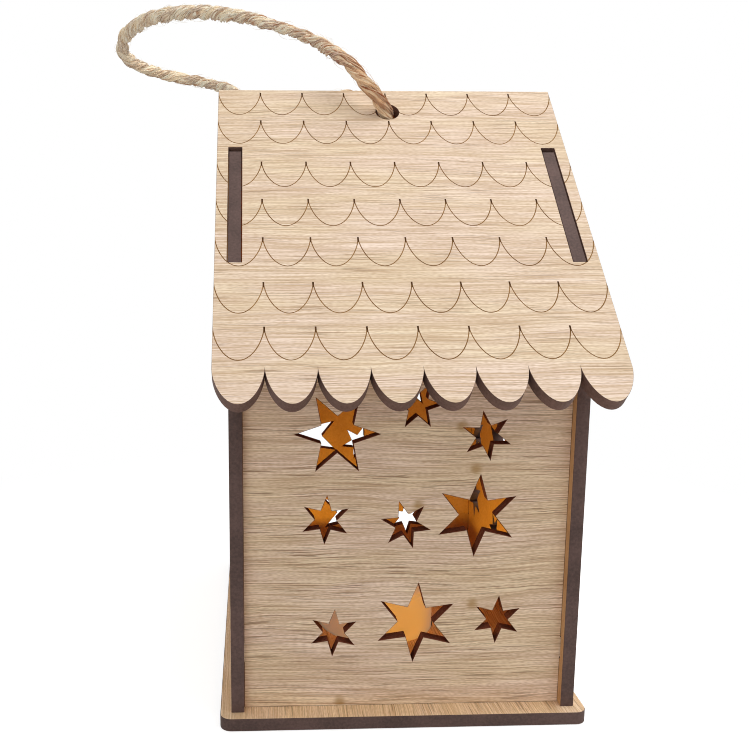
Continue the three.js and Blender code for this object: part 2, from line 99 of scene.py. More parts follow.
# The grain wanders sideways: over so many mm, by so many.
GRAIN_DRIFTS = ((55, 5.0), (7, 0.5))
PORE_COLOUR = "#6E4A22"
SMOKE_COLOUR = "#9A6E1E"
SMOKE_CORE = 0.3
SMOKE_REACH = 2.4


def oak_veneer(name, grain, across, patch, pale, straw, deep, pore_depth, smoke=()):
    """Sliced oak veneer, sanded and left bare: fibres a third of a millimetre wide, slow bands of tone and
    dark pores. grain and across are the sheet's directions along and across the fibres; patch is where on the
    log it comes from, in mm. The wood drifts between a pale and a straw tint, and its figure is drawn in a
    deep one; smoke lists spots, in mm, that the laser's smoke stained."""
    material, tree = new_material(name)
    place = add_node(tree, "ShaderNodeTexCoord").outputs["Object"]
    along_mm, across_mm = [
        add_node(tree, "ShaderNodeVectorMath", {0: place, 1: Vector(way) / MM},
                 operation="DOT_PRODUCT").outputs["Value"] for way in (grain, across)]
    board = add_node(tree, "ShaderNodeCombineXYZ", {0: along_mm, 1: across_mm}).outputs[0]
    board = add_node(tree, "ShaderNodeVectorMath", {0: board, 1: patch}, operation="ADD").outputs[0]
    drift = board
    for length, swing in GRAIN_DRIFTS:
        sway = add_node(tree, "ShaderNodeTexNoise", {
            "Vector": board, "Scale": 1 / length, "Detail": 1.0}).outputs["Fac"]
        sway = add_node(tree, "ShaderNodeCombineXYZ", {1: sway}).outputs[0]
        drift = add_node(tree, "ShaderNodeVectorMath", {0: sway, 1: (0, swing, 0), 2: drift},
                         operation="MULTIPLY_ADD").outputs[0]

    def streaks(figure, detail, low, high, most):
        """Noise drawn out to a figure's length and width, spread from 0 at low to most at high."""
        length, width = figure
        drawn = add_node(tree, "ShaderNodeMapping", {
            "Vector": drift, "Location": (length, 10 * width, 0), "Scale": (1 / length, 1 / width, 1.0)})
        noise = add_node(tree, "ShaderNodeTexNoise", {
            "Vector": drawn.outputs[0], "Scale": 1.0, "Detail": detail, "Roughness": 0.55})
        return add_node(tree, "ShaderNodeMapRange", {
            "Value": noise.outputs["Fac"], "From Min": low, "From Max": high, "To Max": most}).outputs[0]

    wood = add_node(tree, "ShaderNodeMix", {
        0: streaks(TINT_PATCH, 2.0, 0.4, 0.6, 1.0), 6: linear(pale), 7: linear(straw)},
        data_type="RGBA").outputs[2]
    fibres = streaks(FIBRE, 0.0, 0.3, 0.7, 0.55)
    pores = add_node(tree, "ShaderNodeMath", {
        0: streaks(PORE, 0.0, 0.6, 0.67, pore_depth), 1: streaks(PORE_CLUSTER, 1.0, 0.35, 0.6, 1.0)},
        operation="MULTIPLY").outputs[0]
    layers = [
        (linear(deep), streaks(TONE_BAND, 2.0, 0.35, 0.85, 0.7)),
        (linear(deep), fibres),
        (linear(deep), streaks(FLECK, 0.0, 0.35, 0.7, 0.55)),
        (linear(deep), streaks(DARK_LINE, 0.0, 0.57, 0.64, 0.6)),
        (wood, streaks(LIGHT_LINE, 0.0, 0.57, 0.66, 0.6)),
        (linear(PORE_COLOUR), pores)]
    for spot in smoke:
        apart = add_node(tree, "ShaderNodeVectorMath", {0: place, 1: Vector(spot) * MM}, operation="DISTANCE")
        stain = add_node(tree, "ShaderNodeMapRange", {
            "Value": apart.outputs["Value"], "From Min": SMOKE_CORE * MM, "From Max": SMOKE_REACH * MM,
            "To Min": 0.6, "To Max": 0.0}, interpolation_type="SMOOTHSTEP").outputs[0]
        layers.append((linear(SMOKE_COLOUR), stain))
    colour = wood
    for tint, amount in layers:
        colour = add_node(tree, "ShaderNodeMix", {0: amount, 6: colour, 7: tint}, data_type="RGBA").outputs[2]
    rough = add_node(tree, "ShaderNodeMapRange", {
        "Value": fibres, "To Min": 0.58, "To Max": 0.74}).outputs[0]
    relief = add_node(tree, "ShaderNodeMath", {0: fibres, 1: -0.3, 2: 1.0},
                      operation="MULTIPLY_ADD").outputs[0]
    relief = add_node(tree, "ShaderNodeMath", {0: relief, 1: pores}, operation="SUBTRACT").outputs[0]
    bump = add_node(tree, "ShaderNodeBump", {
        "Height": relief, "Strength": 0.35, "Distance": 0.08 * MM}).outputs[0]
    shader = add_node(tree, "ShaderNodeBsdfPrincipled", {
        "Base Color": colour, "Roughness": rough, "Normal": bump, "IOR": 1.5, "Specular IOR Level": 0.3})
    add_node(tree, "ShaderNodeOutputMaterial", {"Surface": shader.outputs[0]})
    return material


SCORCH_MARK = 0.7
SCORCH_CLOUD = 9


def scorched_fibreboard(name, pale, dark, shine):
    """Fibreboard, bare or browned by the laser: matt and a little cloudy, with faint marks under a millimetre
    wide."""
    material, tree = new_material(name)
    place = add_node(tree, "ShaderNodeTexCoord").outputs["Object"]
    fine = add_node(tree, "ShaderNodeTexNoise", {
        "Vector": place, "Scale": 1 / (SCORCH_MARK * MM), "Detail": 2.0}).outputs["Fac"]
    broad = add_node(tree, "ShaderNodeTexNoise", {
        "Vector": place, "Scale": 1 / (SCORCH_CLOUD * MM), "Detail": 1.0}).outputs["Fac"]
    both = add_node(tree, "ShaderNodeMath", {0: fine, 1: broad}, operation="ADD").outputs[0]
    share = add_node(tree, "ShaderNodeMapRange", {
        "Value": both, "From Min": 0.7, "From Max": 1.3}).outputs[0]
    colour = add_node(tree, "ShaderNodeMix", {0: share, 6: linear(pale), 7: linear(dark)},
                      data_type="RGBA").outputs[2]
    bump = add_node(tree, "ShaderNodeBump", {
        "Height": fine, "Strength": 0.3, "Distance": 0.1 * MM}).outputs[0]
    shader = add_node(tree, "ShaderNodeBsdfPrincipled", {
        "Base Color": colour, "Roughness": 0.7, "Normal": bump, "Specular IOR Level": shine})
    add_node(tree, "ShaderNodeOutputMaterial", {"Surface": shader.outputs[0]})
    return material


def pick(piece):
    """Leaves this piece alone selected and active."""
    bpy.ops.object.select_all(action="DESELECT")
    piece.select_set(True)
    bpy.context.view_layer.objects.active = piece


MERGE_GAP = 0.002
FLAT_WITHIN = 0.5


def merged_copy(node, name):
    """A copy of a CAD node as one closed mesh, its flat faces joined up and its stored normals dropped."""
    piece = bpy.data.objects.new(name, cad_nodes[node].data.copy())
    piece.data.materials.clear()
    bpy.context.scene.collection.objects.link(piece)
    pick(piece)
    bpy.ops.mesh.customdata_custom_splitnormals_clear()
    bpy.ops.object.mode_set(mode="EDIT")
    bpy.ops.mesh.select_all(action="SELECT")
    bpy.ops.mesh.remove_doubles(threshold=MERGE_GAP * MM)
    bpy.ops.mesh.dissolve_limited(angle_limit=math.radians(FLAT_WITHIN))
    bpy.ops.object.mode_set(mode="OBJECT")
    return piece


SMOOTH_WITHIN = 35


def soften(piece, width, segments, angle):
    """Rounds the edges that turn more than an angle, in degrees, and shades smoothly what turns little."""
    pick(piece)
    bevel = piece.modifiers.new("soften", "BEVEL")
    bevel.width = width
    bevel.segments = segments
    bevel.limit_method = "ANGLE"
    bevel.angle_limit = math.radians(angle)
    bevel.harden_normals = False
    bpy.ops.object.modifier_apply(modifier=bevel.name)
    bpy.ops.object.shade_smooth_by_angle(angle=math.radians(SMOOTH_WITHIN))


burnt_edge = scorched_fibreboard("laser_cut_edge", "#66504A", "#4E3D38", shine=0.25)
burnt_star = scorched_fibreboard("laser_cut_star_edge", "#844F3B", "#593225", shine=0.0)
bare_board = scorched_fibreboard("bare_fibreboard", "#C89D70", "#B78B60", shine=0.1)
EDGE_ROUNDING = 0.12
EDGE_TURN = 40
FACE_ON = 0.99


def laser_cut_board(node, veneer, outside, rim=burnt_edge, in_star=None):
    """One sheet of the house: veneer on the face that looks outside, bare fibreboard behind, burnt edges all
    round. in_star tells by its place whether an edge belongs to a star; star edges get a redder brown of
    their own."""
    piece = merged_copy(node, node + "_board")
    soften(piece, EDGE_ROUNDING * MM, segments=1, angle=EDGE_TURN)
    for finish in (veneer, bare_board, rim, burnt_star):
        piece.data.materials.append(finish)
    outside = Vector(outside).normalized()
    for polygon in piece.data.polygons:
        facing = polygon.normal.dot(outside)
        edge = 3 if in_star and in_star(polygon.center / MM) else 2
        polygon.material_index = 0 if facing > FACE_ON else 1 if facing < -FACE_ON else edge
    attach(piece, "house")
    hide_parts(node)
    return piece


ALONG_X = (1, 0, 0)
ALONG_Y = (0, 1, 0)
UP = (0, 0, 1)
laser_cut_board("base_plate", oak_veneer(
    "oak_veneer_base", ALONG_Y, ALONG_X, (13, 40, 5),
    pale="#FBE0C2", straw="#F7DAB2", deep="#CDA87E", pore_depth=0.5), UP)


# Side walls: two gabled sheets of the same board. Their feet stand in the base, the tabs on their slopes
# come up through the roof, and their stars and grain lie as on the front.

for side, outside, patch in (("left", -1, (210, 35, 300)), ("right", 1, (90, 155, 220))):
    laser_cut_board(side + "_side_wall", oak_veneer(
        "oak_veneer_" + side, ALONG_Y, UP, patch,
        pale="#FBE3CB", straw="#F8E0C0", deep="#C3A27F", pore_depth=0.5), (outside, 0, 0))


# Front and back panels: two like sheets set back between the walls, with stars cut through them. Their side
# tabs sit in the walls' slots, and the laser left a few smoke stains beside the front stars' tips.

SMOKE_STAINS = (
    (14.1, -54.3, 81.3), (3.2, -54.3, 60.2), (18.1, -54.3, 69.8), (18.4, -54.3, 32.4), (-17.1, -54.3, 4.8))
STARS_WITHIN_X = 42
STARS_FROM_Z = 5
STARS_UP_TO_Z = 104


def star_in_panel(spot):
    """Whether a place on a panel, in mm, is among the stars and not on the sheet's outer edge."""
    return abs(spot.x) < STARS_WITHIN_X and STARS_FROM_Z < spot.z < STARS_UP_TO_Z


for end, outside, patch, stains in (
        ("front", -1, (57, 410, 31), SMOKE_STAINS), ("back", 1, (330, 120, 77), ())):
    laser_cut_board(end + "_panel", oak_veneer(
        "oak_veneer_" + end, ALONG_X, UP, patch,
        pale="#FDE4CF", straw="#F8E1BF", deep="#BF9C7A", pore_depth=0.6, smoke=stains),
        (0, outside, 0), in_star=star_in_panel)


# Roof panels: two sheets at 45 degrees with a scalloped eave. The laser also drew rows of round scales on
# them, at low power, as lines a third of a millimetre wide. The front sheet laps over the back one at the
# ridge.

SLOPE = math.sqrt(0.5)
RIDGE_Z = 172.7
ROOF_WIDTH = 99.76
SCALES = 8
SCALE_DEPTH = 9.9
SCALE_FULLNESS = 1.55
SCALE_ROWS = (1.4, 14.1, 31.8, 46.7, 61.0, 76.5, 90.8)
LINE_RADIUS = 0.14
LINE_STEPS = 26
CUSP_BURN = (-0.2, 1.6)
CUSP_WIDENING = 1.6

roof_edge = scorched_fibreboard("laser_cut_eave", "#7A5D52", "#5E463D", shine=0.25)
engraved_line = scorched_fibreboard("laser_drawn_line", "#AC8657", "#86633C", shine=0.0)
burnt_cusp = scorched_fibreboard("laser_burnt_cusp", "#6A4A30", "#523722", shine=0.0)


def scale_line(left, row):
    """The points of one drawn scale: how far across the roof, and how far down it, in mm."""
    points = []
    for step in range(LINE_STEPS + 1):
        sweep = math.pi * step / LINE_STEPS
        hang = max(0.0, math.sin(sweep)) ** (2 / SCALE_FULLNESS)
        points.append((left + ROOF_WIDTH / SCALES / 2 * (1 - math.cos(sweep)), row + SCALE_DEPTH * hang))
    return points


def drawn_scales(name, flip):
    """Thin round bars along every drawn line, to cut the lines with, and thicker ones where the laser turned
    back at a cusp and burnt deeper."""
    curve = bpy.data.curves.new(name, "CURVE")
    curve.dimensions = "3D"
    curve.bevel_depth = LINE_RADIUS * MM
    curve.bevel_resolution = 1
    curve.use_fill_caps = True
    curve.materials.append(engraved_line)
    curve.materials.append(burnt_cusp)

    def bar(points, finish, thick):
        spline = curve.splines.new("POLY")
        spline.material_index = finish
        spline.points.add(len(points) - 1)
        for spot, (across, down) in zip(spline.points, points):
            spot.co = (flip * across * MM, -flip * down * SLOPE * MM, (RIDGE_Z - down * SLOPE) * MM, 1)
            spot.radius = thick

    for row in SCALE_ROWS:
        for scale in range(SCALES):
            left = -ROOF_WIDTH / 2 + scale * ROOF_WIDTH / SCALES
            bar(scale_line(left, row), 0, 1.0)
            if scale:
                bar([(left, row + reach) for reach in CUSP_BURN], 1, CUSP_WIDENING)
    bars = bpy.data.objects.new(name, curve)
    bpy.context.scene.collection.objects.link(bars)
    pick(bars)
    bpy.ops.object.convert(target="MESH")
    return bars


for end, flip, patch in (("front", 1, (20, 60, 140)), ("back", -1, (260, 330, 18))):
    roof = laser_cut_board(end + "_roof_panel", oak_veneer(
        "oak_veneer_" + end + "_roof", ALONG_X, (0, flip * SLOPE, SLOPE), patch,
        pale="#F6E1D0", straw="#F3E0C3", deep="#C3A482", pore_depth=0.4), (0, -flip, 1), roof_edge)
    bars = drawn_scales(end + "_scale_bars", flip)
    pick(roof)
    engrave = roof.modifiers.new("engrave", "BOOLEAN")
    engrave.operation = "DIFFERENCE"
    engrave.object = bars
    engrave.solver = "EXACT"
    engrave.use_self = True
    engrave.material_mode = "TRANSFER"
    bpy.ops.object.modifier_apply(modifier=engrave.name)
    bpy.ops.object.shade_smooth_by_angle(angle=math.radians(SMOOTH_WITHIN))
    bpy.data.objects.remove(bars)


# Hanging cord: two plies of jute yarn twisted together, out of the front hole, over the ridge and back into
# the rear hole. Its ends meet in one knot under the ridge, which keeps them from pulling out.

CORD_ROUTE = [
    (1.3, -2.5, 160.7), (-0.2, -6.7, 165.2), (-3.4, -9.2, 169.7), (-7.4, -9, 174.2), (-11.8, -5.4, 180.1),
    (-15.5, 2.7, 184.3), (-19.2, 12.3, 188.8), (-25.5, 21.6, 193.4), (-32.4, 31.5, 197.8),
    (-39.9, 41.6, 201.8), (-47.9, 52.1, 205.4), (-57, 63.1, 208.5), (-66.6, 74.7, 210.9),
    (-76.1, 87.1, 212.1), (-85.3, 100.1, 211.8), (-92.2, 113.1, 209.6), (-94.7, 126, 205.9),
    (-90.2, 138, 202.5), (-79.4, 144.5, 199.8), (-66.4, 142.6, 196.9), (-56.4, 132.6, 193.5),
    (-50.4, 119.5, 190.3), (-47, 106, 186.6), (-43, 92, 182.5), (-38, 78.5, 179.5), (-32, 65.5, 177.5),
    (-25, 53, 176), (-18, 41.5, 175), (-11.5, 31, 174.5), (-6, 22, 173.5), (-1.5, 14.5, 171.5),
    (0, 8.5, 167.5), (0, 4, 163)]
CORD_STEP = 1.0
PLY_OFFSET = 0.85
PLY_HALF_HEIGHT = 1.25
PLY_HALF_WIDTH = 1.7
CORE_SIDES = 12
STRANDS = 20
STRAND_RADIUS = 0.28
TWIST_LENGTH = 15.0
# The strands of a ply wind back by this share of the plies' own twist, wander round it and off it, and swell.
STRAND_WIND = 0.6
STRAND_WANDER = (0.5, 0.25)
STRAND_LIFT = 0.14
STRAND_SWELL = 0.25
SWELL_PACE = 1.3
# The lay and each ply's thickness are uneven: how far they swing, and at what pace along the run.
LAY_SWINGS = ((0.5, 0.12), (0.35, 0.29))
SLUB_SWINGS = ((0.1, 0.21), (0.08, 0.53))
# The cord is fuller round its far bend, and thin for a stretch before it: by what share, where, how long.
FULLER_BY, FULLER_FROM, FULLER_OVER = 0.14, 95, 41
THINNER_BY, THINNER_AT, THINNER_OVER = 0.19, 67, 22
# Loose fibres: from and to what length and radius, how far they stand off, lean and taper.
HAIR_LENGTH = (1.5, 5.0)
HAIR_RADIUS = (0.035, 0.065)
HAIR_LIFT = (0.1, 0.5)
HAIR_LEAN = (-0.5, 0.5)
HAIR_TAPER = 0.6
HAIRLESS_ENDS = 8
YARN_SMOOTH_WITHIN = 100
# Every strand and loose fibre has a tag of its own, from which its tone comes.
CORE_TAG_STEP = 40.0
FIRST_TAG, TAG_STEP, PLY_TAG_STEP = 3.0, 7.31, 211.7
FIRST_HAIR_TAG, HAIR_TAG_STEP = 500.0, 3.7
THIRDS_OF_A_TURN = (0, 2.094, 4.189)


def smooth_line(route, per_span=24):
    """A smooth line through the route's points (uniform Catmull-Rom)."""
    ends = [2 * route[0] - route[1], *route, 2 * route[-1] - route[-2]]
    line = []
    for a, b, c, d in zip(ends, ends[1:], ends[2:], ends[3:]):
        for step in range(per_span):
            t = step / per_span
            line.append(0.5 * (2 * b + (c - a) * t + (2 * a - 5 * b + 4 * c - d) * t * t
                               + (3 * b - a - 3 * c + d) * t ** 3))
    return line + [route[-1]]


def runs_along(line):
    """How far along a line each of its points is."""
    runs = [0.0]
    for a, b in zip(line, line[1:]):
        runs.append(runs[-1] + (b - a).length)
    return runs


def evenly(line, step):
    """Points about every step along a line, its ends kept, and the line's length."""
    runs = runs_along(line)
    count = max(2, round(runs[-1] / step))
    spots, k = [], 0
    for i in range(count + 1):
        run = runs[-1] * i / count
        while k < len(runs) - 2 and runs[k + 1] < run:
            k += 1
        share = (run - runs[k]) / (runs[k + 1] - runs[k])
        spots.append(line[k].lerp(line[k + 1], min(1.0, share)))
    return spots, runs[-1]


def side_frames(line):
    """Two sideways directions at each point, carried along the line without turning."""
    frames, across = [], None
    for i in range(len(line)):
        ahead = (line[min(i + 1, len(line) - 1)] - line[max(i - 1, 0)]).normalized()
        if across is None:
            across = ahead.orthogonal()
        across = (across - ahead * across.dot(ahead)).normalized()
        frames.append((across.copy(), ahead.cross(across), ahead))
    return frames


def twisted_yarn(name, line, seed, hairs):
    """Two plies laid together along a line in mm. Each ply is a core with strands of fibre round it, which
    run nearly along the cord and wander a little, and loose fibres stand off them."""
    draw = random.Random(seed)
    frames = side_frames(line)
    runs = runs_along(line)
    lay_sway = [draw.uniform(0, 2 * math.pi) for _ in range(2)]
    slub = [[draw.uniform(0, 2 * math.pi) for _ in range(2)] for _ in range(2)]
    points, faces, face_uvs = [], [], []

    def ply_spot(i, ply, angle, reach):
        """A place on a ply's oval section, reach 0 at its middle and 1 on the core's surface."""
        across, aside, _ = frames[i]
        run = runs[i]
        lay = ply * math.pi - 2 * math.pi * run / TWIST_LENGTH
        lay += sum(swing * math.sin(run * pace + start)
                   for (swing, pace), start in zip(LAY_SWINGS, lay_sway))
        full = 1 + FULLER_BY * math.sin((run - FULLER_FROM) / FULLER_OVER)
        full -= THINNER_BY * math.exp(-((run - THINNER_AT) / THINNER_OVER) ** 2)
        fat = 1 + sum(swing * math.sin(run * pace + start)
                      for (swing, pace), start in zip(SLUB_SWINGS, slub[ply]))
        outward = across * math.cos(lay) + aside * math.sin(lay)
        sideways = aside * math.cos(lay) - across * math.sin(lay)
        return line[i] + (outward * (PLY_OFFSET + PLY_HALF_HEIGHT * fat * reach * math.cos(angle)) + (
            sideways * PLY_HALF_WIDTH * fat * reach * math.sin(angle))) * full

    def tube(rings, tag):
        """A closed tube through rings of points. Its UV map holds the run along the cord and the tag."""
        first, sides = len(points), len(rings[0][1])
        for _, ring in rings:
            points.extend(spot * MM for spot in ring)
        for k in range(len(rings) - 1):
            here, ahead = (rings[k][0], tag), (rings[k + 1][0], tag)
            low, high = first + k * sides, first + (k + 1) * sides
            for side in range(sides):
                after = (side + 1) % sides
                faces.append((low + side, low + after, high + after, high + side))
                face_uvs.append((here, here, ahead, ahead))
        last = first + (len(rings) - 1) * sides
        for cap, run in ((range(first + sides - 1, first - 1, -1), rings[0][0]),
                         (range(last, last + sides), rings[-1][0])):
            faces.append(tuple(cap))
            face_uvs.append(((run, tag),) * sides)

    for ply in (0, 1):
        tube([(runs[i], [ply_spot(i, ply, 2 * math.pi * side / CORE_SIDES, 1.0)
                         for side in range(CORE_SIDES)]) for i in range(len(line))], CORE_TAG_STEP * ply)
        for strand in range(STRANDS):
            start = 2 * math.pi * (strand + draw.uniform(-0.3, 0.3)) / STRANDS
            thick = STRAND_RADIUS * draw.uniform(0.8, 1.2)
            sway = [draw.uniform(0, 2 * math.pi) for _ in range(4)]
            pace = [draw.uniform(0.1, 0.2), draw.uniform(0.3, 0.5), draw.uniform(0.2, 0.6)]
            rings = []
            for i, (across, aside, _) in enumerate(frames):
                run = runs[i]
                angle = start + STRAND_WIND * 2 * math.pi * run / TWIST_LENGTH
                angle += sum(STRAND_WANDER[k] * math.sin(run * pace[k] + sway[k]) for k in (0, 1))
                middle = ply_spot(i, ply, angle, 1.0 + STRAND_LIFT * math.sin(run * pace[2] + sway[2]))
                wide = thick * (1 + STRAND_SWELL * math.sin(run * SWELL_PACE + sway[3]))
                rings.append((run, [middle + (across * math.cos(turn) + aside * math.sin(turn)) * wide
                                    for turn in (0, 0.5 * math.pi, math.pi, 1.5 * math.pi)]))
            tube(rings, FIRST_TAG + strand * TAG_STEP + ply * PLY_TAG_STEP)

    for hair in range(hairs):
        i = draw.randrange(HAIRLESS_ENDS, len(line) - HAIRLESS_ENDS)
        root = ply_spot(i, draw.randrange(2), draw.uniform(-1.2, 1.2), 1.1)
        outward = (root - line[i]).normalized()
        along = frames[i][2] * draw.choice((-1, 1))
        aside = along.cross(outward)
        length, lift, lean, thick = (
            draw.uniform(*between) for between in (HAIR_LENGTH, HAIR_LIFT, HAIR_LEAN, HAIR_RADIUS))
        rings = []
        for t in (0.0, 0.33, 0.67, 1.0):
            spot = root + (along * t + outward * lift * t * (1.4 - t) + aside * lean * t * t) * length
            rings.append((runs[i] + t, [
                spot + (outward * math.cos(turn) + aside * math.sin(turn)) * thick * (1 - HAIR_TAPER * t)
                for turn in THIRDS_OF_A_TURN]))
        tube(rings, FIRST_HAIR_TAG + HAIR_TAG_STEP * hair)

    mesh = bpy.data.meshes.new(name)
    mesh.from_pydata(points, [], faces)
    uv = mesh.uv_layers.new(name="along_strand")
    for polygon, spots in zip(mesh.polygons, face_uvs):
        for loop, spot in zip(polygon.loop_indices, spots):
            uv.data[loop].uv = spot
    piece = bpy.data.objects.new(name, mesh)
    bpy.context.scene.collection.objects.link(piece)
    pick(piece)
    bpy.ops.object.mode_set(mode="EDIT")
    bpy.ops.mesh.select_all(action="SELECT")
    bpy.ops.mesh.normals_make_consistent(inside=False)
    bpy.ops.object.mode_set(mode="OBJECT")
    bpy.ops.object.shade_smooth_by_angle(angle=math.radians(YARN_SMOOTH_WITHIN))
    return piece


# Runs along the cord, in mm, over which painted shade darkens its front end and painted light brightens
# its far bend, and the tags of the second ply's strands.
PAINTED_SHADE_STARTS, PAINTED_SHADE_FULL_AT = 70, 10
FAR_BEND = 170
PAINTED_LIGHT_WITHIN, PAINTED_LIGHT_FULL_WITHIN = 80, 20
SECOND_PLY_MIDDLE, SECOND_PLY_REACH = 285, 85
STRANDS_APART = 1.37


def jute_yarn(name):
    """Spun jute: every strand has its own tone, from pale straw to brown, which changes slowly along its run.
    The second ply has brown patches, partly its own tone and partly painted shade where its strands sink
    between the plies. Painted shade darkens the cord's front end, and painted light brightens its far bend."""
    material, tree = new_material(name)
    place = add_node(tree, "ShaderNodeTexCoord").outputs["UV"]
    run, tag = add_node(tree, "ShaderNodeSeparateXYZ", {0: place}).outputs[:2]

    def tone(length, low, high, apart=STRANDS_APART):
        """Noise over so many mm of a strand, different on each one, spread from 0 at low to 1 at high."""
        spot = add_node(tree, "ShaderNodeMapping", {
            "Vector": place, "Scale": (1 / length, apart, 1.0)}).outputs[0]
        noise = add_node(tree, "ShaderNodeTexNoise", {
            "Vector": spot, "Scale": 1.0, "Detail": 2.0}).outputs["Fac"]
        return add_node(tree, "ShaderNodeMapRange", {
            "Value": noise, "From Min": low, "From Max": high}).outputs[0]

    # Brown patches on the second ply: partly the jute's own tone, partly painted shade where its strands sink
    # between the plies.
    brown_and_shaded_patches = add_node(tree, "ShaderNodeMath", {0: tag, 1: SECOND_PLY_MIDDLE, 2: SECOND_PLY_REACH},
                       operation="COMPARE").outputs[0]
    for share in (0.55, tone(9, 0.36, 0.5, 0.4)):
        brown_and_shaded_patches = add_node(tree, "ShaderNodeMath", {0: brown_and_shaded_patches, 1: share}, operation="MULTIPLY").outputs[0]
    # Painted shade darkens the cord towards its front end, and painted light brightens it round the far bend.
    front = add_node(tree, "ShaderNodeMapRange", {
        "Value": run, "From Min": PAINTED_SHADE_STARTS, "From Max": PAINTED_SHADE_FULL_AT}).outputs[0]
    apart = add_node(tree, "ShaderNodeMath", {0: run, 1: FAR_BEND}, operation="SUBTRACT").outputs[0]
    apart = add_node(tree, "ShaderNodeMath", {0: apart}, operation="ABSOLUTE").outputs[0]
    bend = add_node(tree, "ShaderNodeMapRange", {
        "Value": apart, "From Min": PAINTED_LIGHT_WITHIN, "From Max": PAINTED_LIGHT_FULL_WITHIN, "To Max": 0.4}).outputs[0]
    colour = linear("#C08A60")
    # Of these tints, the one multiplied in at the front end is painted shade, and the pale one mixed in round
    # the bend is painted light.
    for tint, amount, blend in (
            ("#FFE9C6", tone(8, 0.38, 0.5), "MIX"), ("#FFF7DF", tone(5, 0.44, 0.58), "MIX"),
            ("#9A5A34", brown_and_shaded_patches, "MIX"), ("#E4CCB8", front, "MULTIPLY"), ("#FFEDD0", bend, "MIX")):
        colour = add_node(tree, "ShaderNodeMix", {0: amount, 6: colour, 7: linear(tint)},
                          data_type="RGBA", blend_type=blend).outputs[2]
    fine = tone(0.8, 0.3, 0.7)
    bump = add_node(tree, "ShaderNodeBump", {
        "Height": fine, "Strength": 0.5, "Distance": 0.1 * MM}).outputs[0]
    shader = add_node(tree, "ShaderNodeBsdfPrincipled", {
        "Base Color": colour, "Roughness": 0.85, "Normal": bump, "Specular IOR Level": 0.2,
        "Sheen Weight": 0.45, "Sheen Roughness": 0.5})
    add_node(tree, "ShaderNodeOutputMaterial", {"Surface": shader.outputs[0]})
    return material


jute = jute_yarn("jute_two_ply")
cord_line, cord_length = evenly(smooth_line([Vector(p) for p in CORD_ROUTE]), CORD_STEP)
cord = twisted_yarn("jute_cord", cord_line, seed=11, hairs=640)
cord.data.materials.append(jute)
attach(cord, "house")
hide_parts("hanging_cord")

KNOT_Z = 154.0
KNOT_SPREAD = 1.3
KNOT_RISE = 3.2
KNOT_STEPS = 90
KNOT_FROM, KNOT_SWEEP = 8, 344
knot_line = []
for step in range(KNOT_STEPS + 1):
    turn = math.radians(KNOT_FROM + KNOT_SWEEP * step / KNOT_STEPS)
    knot_line.append(Vector((
        KNOT_SPREAD * (math.sin(turn) + 2 * math.sin(2 * turn)),
        KNOT_SPREAD * (math.cos(turn) - 2 * math.cos(2 * turn)),
        KNOT_Z - KNOT_RISE * math.sin(3 * turn))))
knot = twisted_yarn("jute_knot", knot_line, seed=5, hairs=60)
knot.data.materials.append(jute)
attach(knot, "house")
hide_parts("cord_knot")


# Tea light: a moulded cup of ivory polypropylene with a flame-shaped diffuser over its LED, pushed up into
# the base from below. It is switched on, so the flame glows amber and the cup glows faintly from inside.

LIT_GRAIN = 0.8


def glowing_plastic(name, body, glow, faint, centre, reach, bright, dim, rough):
    """Translucent moulded plastic lit from inside, its glow drawn as emission: brightest at a centre, dim
    and faint from a reach off it, both in mm. The faint colour can also be painted light from outside."""
    material, tree = new_material(name)
    place = add_node(tree, "ShaderNodeTexCoord").outputs["Object"]
    apart = add_node(tree, "ShaderNodeVectorMath", {0: place, 1: Vector(centre) * MM}, operation="DISTANCE")
    share = add_node(tree, "ShaderNodeMapRange", {
        "Value": apart.outputs["Value"], "From Min": 0.3 * reach * MM, "From Max": reach * MM},
        interpolation_type="SMOOTHSTEP").outputs[0]
    strength = add_node(tree, "ShaderNodeMapRange", {
        "Value": share, "To Min": bright, "To Max": dim}).outputs[0]
    colour = add_node(tree, "ShaderNodeMix", {0: share, 6: linear(glow), 7: linear(faint)},
                      data_type="RGBA").outputs[2]
    grain = add_node(tree, "ShaderNodeTexNoise", {
        "Vector": place, "Scale": 1 / (LIT_GRAIN * MM), "Detail": 2.0}).outputs["Fac"]
    bump = add_node(tree, "ShaderNodeBump", {
        "Height": grain, "Strength": 0.08, "Distance": 0.1 * MM}).outputs[0]
    shader = add_node(tree, "ShaderNodeBsdfPrincipled", {
        "Base Color": linear(body), "Roughness": rough, "Normal": bump, "IOR": 1.49,
        "Emission Color": colour, "Emission Strength": strength})
    add_node(tree, "ShaderNodeOutputMaterial", {"Surface": shader.outputs[0]})
    return material


SPARK_GRAIN = 0.25


def moulded_plastic(name, colour, rough):
    """Plain moulded plastic with the fine spark finish of its tool."""
    material, tree = new_material(name)
    place = add_node(tree, "ShaderNodeTexCoord").outputs["Object"]
    grain = add_node(tree, "ShaderNodeTexNoise", {
        "Vector": place, "Scale": 1 / (SPARK_GRAIN * MM), "Detail": 2.0}).outputs["Fac"]
    shade = add_node(tree, "ShaderNodeMapRange", {
        "Value": grain, "To Min": rough - 0.08, "To Max": rough + 0.08}).outputs[0]
    bump = add_node(tree, "ShaderNodeBump", {
        "Height": grain, "Strength": 0.15, "Distance": 0.05 * MM}).outputs[0]
    shader = add_node(tree, "ShaderNodeBsdfPrincipled", {
        "Base Color": linear(colour), "Roughness": shade, "Normal": bump, "IOR": 1.5})
    add_node(tree, "ShaderNodeOutputMaterial", {"Surface": shader.outputs[0]})
    return material


ROLL_LINE_LENGTH = 1.5
ROLL_LINES_IN_LENGTH = 12


